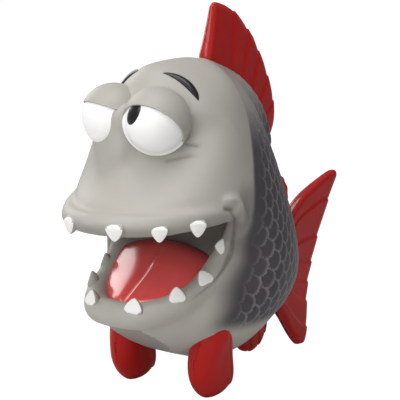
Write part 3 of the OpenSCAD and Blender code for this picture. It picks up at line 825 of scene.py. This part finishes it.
def tooth(name, base, point, outward, wide, root=1.0):
    """base is the gum point, point the way that the tooth grows, outward the way its painted face looks."""
    bm = bmesh.new()
    profile = smooth_line([(r, 0, h) for r, h in NUB], 26)
    line = [bm.verts.new(p) for p in profile]
    edges = [bm.edges.new(pair) for pair in zip(line, line[1:])]
    bmesh.ops.spin(bm, geom=line + edges, cent=(0, 0, 0), axis=(0, 0, 1), angle=math.tau, steps=36,
                   use_merge=True)
    bmesh.ops.remove_doubles(bm, verts=bm.verts, dist=0.03)
    for v in bm.verts:
        shrink = 1 - 0.45 * float(soft_step(0, 5.5, v.co.z))
        limit = FACE_AT * shrink - 1.7 * float(soft_step(0.3, -2.2, v.co.z))
        v.co.y = limit + FACE_BULGE * (v.co.y - limit) if v.co.y > limit else v.co.y
        v.co.x *= wide
        v.co.z *= root if v.co.z < 0 else 1
    bmesh.ops.recalc_face_normals(bm, faces=bm.faces)
    for f in bm.faces:
        x, _, z = f.calc_center_median()
        f.material_index = 0 if f.normal.y > 0.6 and z > root * (0.2 * x * x - 1.3) else 1
    outward = (outward - point * outward.dot(point)).normalized()
    level = outward.cross(point)
    frame_of = Matrix((level, outward, point)).transposed().to_4x4()
    place = Matrix.Translation(base) @ frame_of @ Matrix.Scale(MM, 4)
    bmesh.ops.transform(bm, matrix=place, verts=bm.verts)
    on_toy(to_object(bm, name + "_nub"), name, "tooth_white", tooth_white, skin_finish)


# %% Set the teeth
# angle along the lip, how far below it, width, inset near, inset far
UPPER_TEETH = [(15.8, 0.7, 1.0, -0.3, -0.3), (37, 1.3, 0.88, 0.6, 2.8), (54.3, 1.2, 0.88, 0.8, 2.8)]
# middle, way it grows, way its face looks, width
LOWER_TEETH = [((10.8, 51.1, 40.7), (0, -0.15, 1), (0.25, 1, 0), 1.05),
               ((22.2, 39.5, 44.6), (-0.15, -0.05, 1), (0.85, 0.6, 0), 0.92),
               ((25.6, 28, 49.7), (-0.35, 0.3, 0.9), (0.95, 0.4, 0.1), 0.92),
               ((27.6, 20.2, 60.2), (-0.5, 0.8, 0.15), (0.75, 0.6, 0.1), 1.1)]
for side, word in ((1, "left"), (-1, "right")):
    for i, (angle, lower, wide, near, far) in enumerate(UPPER_TEETH):
        a = side * math.radians(angle)
        base = spot(*upper_lip(a, near if side > 0 else far)) - Vector((0, 0, lower * MM))
        outward = spot(*upper_lip(a, 0)) - spot(*upper_lip(a, 3))
        tooth(f"upper_tooth_{word}_{i + 1}", base, Vector((0, 0, -1)), outward, wide, root=0.8)
    for i, (middle, grow, face, wide) in enumerate(LOWER_TEETH):
        point = Vector((side * grow[0], -grow[1], grow[2])).normalized()
        outward = Vector((side * face[0], -face[1], face[2])).normalized()
        base = spot(side * middle[0], middle[1], middle[2]) - outward * 0.9 * MM - point * 2.6 * MM
        tooth(f"lower_tooth_{word}_{i + 1}", base, point, outward, wide)
print("teeth done")

# %% [markdown]
# ## Tongue
# The tongue is a glossy red cushion that fills the floor of the mouth, domed across, with a groove along
# its middle. A grid is bent to shape, and solidify gives it a body that sinks into the floor. Its colour
# gets darker towards the throat as painted shade.

# %% Tongue
red_gloss, shader, w = finish("red_gloss", Specular_IOR_Level=0.5, Coat_Weight=0.55, Coat_Roughness=0.12)
mottle = blotches(w, 70, 3)
depth = w.node("ShaderNodeSeparateXYZ", None, {0: w.node("ShaderNodeTexCoord", out="Object")}, out=1)
# Painted shade: the tongue darkens towards the throat.
throat_shade = w.node("ShaderNodeMapRange", {"interpolation_type": "SMOOTHSTEP"}, {0: depth, 1: -0.046, 2: -0.031})
red = mix(w, mottle, tint(238, 80, 78), tint(246, 96, 94))
plug(shader, Base_Color=mix(w, throat_shade * 0.75, red, tint(96, 20, 18)),
     Roughness=0.16 + mottle * 0.12,
     Normal=bumps(w, blotches(w, 260, 2), 0.0001, 0.35))
TONGUE_LINE = [(0, 46.5, 37.5), (0, 44.5, 40.8), (0, 40, 44.2), (0, 33, 49), (0, 26, 54.5), (0, 21, 58.3),
               (0, 17, 58.8), (0, 14, 56.5)]
TONGUE_WIDE = [[14, 20], [17, 23.5], [19, 24], [27, 21.5], [37, 18], [42, 14.5], [46.5, 10]]
TONGUE_T, SAMPLES = 3.5, 60
tongue_mid = smooth_line(TONGUE_LINE, SAMPLES)
tongue_half = np.interp(tongue_mid[:, 1], *zip(*TONGUE_WIDE))
bm = bmesh.new()
bmesh.ops.create_grid(bm, x_segments=72, y_segments=60, size=1)
for v in bm.verts:
    u, t = v.co.x, (v.co.y + 1) / 2
    along = t * (SAMPLES - 1)
    mid = np.array([np.interp(along, range(SAMPLES), tongue_mid[:, k]) for k in range(3)])
    half = np.interp(along, range(SAMPLES), tongue_half)
    lobe = -5 * u * u
    groove = -1.1 * math.exp(-((u * half / 1.3) ** 2)) * float(soft_step(0.9, 0.4, t))
    round_front = 4 * (abs(u) ** 2.2) * float(soft_step(0.6, 0, t))
    v.co = spot(half * u, mid[1] - round_front, mid[2] + lobe + groove + 0.75 * round_front)
tongue = to_object(bm, "tongue_cushion")
body = tongue.modifiers.new("body", "SOLIDIFY")
body.thickness, body.offset = TONGUE_T * MM, 1 if tongue.data.polygons[0].normal.z < 0 else -1
bpy.context.view_layer.update()
apply_all(tongue)
tongue.data.shade_smooth()
on_toy(tongue, "tongue", "tongue_red", red_gloss)
print("tongue done")

# %% [markdown]
# ## Fins
# A fin is a sheet between four border lines: the root, the outer edge and the two sides. A grid is
# stretched between them, puffed out to half the fin's thickness, and mirrored. Rays are panels that start
# thick and end thin, so a small step shows between them, and the outer edge is notched where each panel
# ends. The dorsal's rays lean, so its marks at the root differ from those at the edge. The front rims of
# the upright fins are glossier than their blades: a mask made from the normals raises their coat. The small
# back fin is a ball drawn out along the back.


# %% Fin maker
def fin(name, node, borders, panels, thick, rim, round_edge, bend, steps=(0.45, 0.9), roots=None,
        lean=None, mesh=(110, 44)):
    """panels are the marks between rays on the outer edge, from 0 to 1, and roots the same at the root; steps
    are a ray's step in thickness and its notch; bend is not used."""
    root, outer, front, rear = (smooth_line([(0, f, z) for f, z in b], 200) for b in borders)
    marks = np.array([0, *panels, 1.0])
    border = np.vstack([outer, front, rear])
    root_marks = np.array([0, *(roots or panels), 1.0])
    bm = bmesh.new()
    bmesh.ops.create_grid(bm, x_segments=mesh[0], y_segments=mesh[1], size=1)

    def on(line, t):
        return np.array([np.interp(t * 199, range(200), line[:, k]) for k in range(3)])

    def sheet(u, t):
        along = (1 - t) * on(root, np.interp(u, marks, root_marks)) + t * on(outer, u)
        outwards = (1 - u) * on(front, t) + u * on(rear, t)
        corners = (1 - t) * ((1 - u) * root[0] + u * root[-1]) + t * ((1 - u) * outer[0] + u * outer[-1])
        return along + outwards - corners

    for v in bm.verts:
        u, t = 0.5 - 0.5 * math.cos((v.co.x + 1) / 2 * math.pi), math.sin((v.co.y + 1) / 4 * math.pi)
        k = min(len(marks) - 2, int(np.searchsorted(marks, u, side="right")) - 1)
        share = (u - marks[k]) / (marks[k + 1] - marks[k])
        here, root_here, edge_here = sheet(u, t), sheet(u, 0), sheet(u, 1)
        inset = steps[1] * (share**2) * t**4 if 0 < u < 1 else 0
        ray = (edge_here - root_here) / max(1e-6, np.linalg.norm(edge_here - root_here))
        to_edge = np.linalg.norm(border - here, axis=1).min()
        puff = 0
        if 0 < u < 1 and 0 < t < 1:
            puff = math.sqrt(1 - (1 - min(1, to_edge / round_edge)) ** 2)
        half = (thick + (rim - thick) * t) / 2
        half += steps[0] * (0.5 - share) * float(soft_step(0.05, 0.3, t))
        here = here - ray * inset
        v.co = spot(max(0, half) * puff, here[1], max(0.0, here[2]))
    bmesh.ops.recalc_face_normals(bm, faces=bm.faces)
    bmesh.ops.mirror(bm, geom=whole(bm), axis="X", merge_dist=0.00001)
    bmesh.ops.remove_doubles(bm, verts=bm.verts, dist=0.00001)
    if lean:
        for v in bm.verts:
            z = v.co.z / MM
            v.co.x += (lean[0] + lean[1] * z + lean[2] * float(soft_step(12, 29, z))) * MM
    piece = to_object(bm, name)
    out = read(piece, "normal")
    store(piece, "shiny", 0 * out[:, 0] if lean else soft_step(0.25, 0.6, 0.5 * out[:, 2] - out[:, 1]))
    piece.data.materials.append(fin_red)
    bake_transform(piece)
    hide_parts(node)


# %% Fin finish
fin_red, shader, w = finish("fin_red", Specular_IOR_Level=0.15, Coat_Roughness=0.14)
mottle = blotches(w, 55, 3)
front_rim = mask(w, "shiny")
plug(shader, Base_Color=mix(w, mottle, tint(164, 18, 15), tint(188, 27, 23)),
     Roughness=0.3 + mottle * 0.2,
     Coat_Weight=0.1 + front_rim * 0.9,
     Normal=bumps(w, blotches(w, 240, 2), 0.00012, 0.4))
print("fin finish done")

# %% Dorsal and tail fins
dorsal_root = [(-RUMP * curve(REAR, h) / 100 + 2.5, up(h) - 2.5) for h in (98.6, 97, 94, 90, 85, 79, 73.5)]
fin("dorsal_fin_blade", "dorsal_fin",
    (dorsal_root,
     [(-6.2, 146.8), (-7.6, 148.2), (-9.6, 148.5), (-15.1, 147.1), (-20.1, 144.9), (-24.5, 141.6),
      (-29, 137.4), (-32.9, 133.2), (-36.2, 128.2), (-39.5, 123.1), (-42.2, 117.7), (-44.9, 111.4),
      (-46.3, 105.5), (-46.4, 98.9), (-44.5, 93.4)],
     [dorsal_root[0], (-1.2, 127.8), (-3, 134.2), (-4.8, 141), (-6.2, 146.8)],
     [dorsal_root[-1], (-43.2, 93.6), (-44.5, 93.4)]),
    panels=(0.2, 0.348, 0.503, 0.664, 0.813), roots=(0.345, 0.495, 0.62, 0.76, 0.887), steps=(0.5, 0.6),
    thick=6.8, rim=3.2, round_edge=3.2, bend=(spot(0, -23, 114.5), spot(0, -30.5, 123)))
fin("tail_fin_blade", "tail_fin",
    ([(-51, 54), (-53, 46), (-53, 36), (-50, 27), (-46, 21)],
     [(-91, 70.6), (-86.2, 62.3), (-78.7, 47.9), (-74.5, 37.6), (-71.8, 29.3), (-70.6, 20.3), (-70.8, 8),
      (-69.5, 1.2), (-67.4, 0)],
     [(-51, 54), (-54.5, 57.5), (-58.5, 61.1), (-65.5, 65.7), (-73.9, 69.3), (-83.3, 72.5), (-87.6, 73.4),
      (-90.3, 72.8), (-91, 70.6)],
     [(-46, 21), (-48.8, 18), (-52.3, 13.7), (-58, 6.1), (-63, 1.1), (-67.4, 0)]),
    panels=(0.17, 0.38, 0.52, 0.63, 0.74, 0.88), thick=6.4, rim=3.2, round_edge=3.0,
    bend=(spot(0, -52, 38), spot(0, -63, 38)))
print("dorsal and tail fins done")

# %% Anal and pectoral fins
fin("anal_fin_blade", "anal_fin",
    ([(-23, 13), (-30, 14.5), (-37, 17), (-42, 20)],
     [(-22.8, 8.8), (-25.4, 6.3), (-29.4, 4.6), (-34.7, 4.8), (-38.7, 7), (-41.4, 10.3), (-43, 14.7)],
     [(-23, 13), (-22.8, 8.8)], [(-42, 20), (-43, 14.7)]),
    panels=(0.35, 0.6, 0.82), thick=4.6, rim=2.4, round_edge=2.2, steps=(0.4, 0.5),
    bend=(spot(0, -30, 14.5), spot(0, -31.5, 9)), mesh=(70, 24))
# shift in mm, mm for each mm up, and more in mm at the top
FOOT_LEAN = {1: (18.3, 0.0875, 1.4), -1: (-20.9, 0.02, 0)}
for side, word in ((1, "left"), (-1, "right")):
    fin(word + "_pectoral_paddle", word + "_pectoral_fin",
        ([(25.6, 27), (21, 30), (16, 31.6), (12.4, 32)],
         [(26.4, 25.6), (27.5, 21), (27.9, 15), (27.2, 9), (24.8, 4.3), (21.6, 1.2), (18.6, -0.5),
          (14.8, -0.8), (10.8, -0.2), (7.2, 1.9), (5.2, 5.8), (5.4, 11), (7.6, 18), (10.3, 25), (11.8, 30.6)],
         [(25.6, 27), (26.4, 25.6)], [(12.4, 32), (11.8, 30.6)]),
        panels=(0.58, 0.7, 0.82), thick=16, rim=10.6, round_edge=8, steps=(0.45, 0.6), lean=FOOT_LEAN[side],
        bend=(spot(side * 20.4, 16.8, 24), spot(side * 19.6, 16.8, 15)))
print("anal and pectoral fins done")

# %% Small back fin
NUB_AT, NUB_HALF_T, NUB_HALF_LONG, NUB_HIGH = (-51.7, 68.6), 1.7, 7.4, 4.5
# how far back and how far down the line of the back goes there for each mm
SLOPE = (0.346, 0.938)
bm = bmesh.new()
bmesh.ops.create_uvsphere(bm, u_segments=40, v_segments=24, radius=1)
for v in bm.verts:
    along = NUB_HALF_LONG * v.co.z
    out_by = NUB_HIGH * v.co.y * (1 + 0.06 * math.cos(9 * v.co.z))
    ahead = NUB_AT[0] - SLOPE[0] * along - SLOPE[1] * out_by
    v.co = spot(NUB_HALF_T * v.co.x, ahead, NUB_AT[1] - SLOPE[1] * along + SLOPE[0] * out_by)
on_toy(to_object(bm, "back_fin_nub"), "back_fin", "fin_red", fin_red)
print("back fin done")

# %% [markdown]
# ## Squeaker
# The squeaker's plastic parts keep their CAD shape, which is right as it is. They only get a better finish.

# %% Squeaker finish
squeaker_plastic, shader, w = finish("squeaker_plastic", Specular_IOR_Level=0.45)
mottle = blotches(w, 400, 2)
plug(shader, Base_Color=mix(w, mottle, tint(164, 160, 152), tint(174, 170, 163)),
     Roughness=0.5 + mottle * 0.15)
for node in ("squeaker_housing", "squeaker_plate", "squeaker_reed", "squeaker_cap"):
    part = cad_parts[node]
    part.data.materials.clear()
    part.data.materials.append(squeaker_plastic)
print("squeaker finished")

# %% [markdown]
# ## Floor, light and background
# The photograph has a plain white studio background and soft light, most of it from the fish's front. The
# world is white to the camera only, and dimmer as a lamp and in reflections, so that the colours come out
# as they are written. The floor glows white to the camera too, so no shadow shows on it, as in the
# photograph. To every other ray it is a plain pale floor that throws light back at the belly.

# %% Floor
bm = bmesh.new()
bmesh.ops.create_grid(bm, x_segments=8, y_segments=8, size=3)
floor = to_object(bm, "floor")
floor_finish, shader, w = finish("floor_white", Roughness=0.9, Specular_IOR_Level=0.1)
shader.inputs["Base Color"].default_value = (0.72, 0.72, 0.72, 1)
glow = w.node("ShaderNodeEmission", None, {"Color": (1, 1, 1, 1), "Strength": 1.25})
seen = w.node("ShaderNodeLightPath", out="Is Camera Ray")
lit = Wire(w.tree, shader.outputs[0])
mixed = w.node("ShaderNodeMixShader", None, {0: seen * 0.8, 1: lit, 2: glow})
w.tree.links.new(mixed.socket, w.tree.nodes["Material Output"].inputs["Surface"])
floor.data.materials.append(floor_finish)
print("floor done")

# %% White background
AMBIENT = 0.3
world = bpy.data.worlds.new("studio")
world.use_nodes = True
bpy.context.scene.world = world
w = Wire(world.node_tree)
direct = w.node("ShaderNodeLightPath", out="Is Camera Ray")
back = world.node_tree.nodes["Background"]
back.inputs["Color"].default_value = (1, 1, 1, 1)
world.node_tree.links.new((AMBIENT + direct * (1 - AMBIENT)).socket, back.inputs["Strength"])
print("background done")


# %% Lamps
def softbox(name, azimuth, elevation, distance, size, power):
    lamp = bpy.data.objects.new(name, bpy.data.lights.new(name, "AREA"))
    bpy.context.scene.collection.objects.link(lamp)
    way = direction(azimuth, elevation)
    lamp.location = target + way * distance
    lamp.rotation_euler = way.to_track_quat("Z", "Y").to_euler()
    lamp.data.size, lamp.data.energy = size, power


softbox("key", -5, 46, 1.0, 0.5, 3.5)
softbox("fill", 14, 15, 1.0, 0.6, 1.9)
softbox("side", -102, 22, 1.0, 0.5, 2.4)
softbox("top", 30, 78, 1.0, 0.6, 5.0)
bpy.context.scene.view_settings.view_transform = "Standard"
print("studio done")
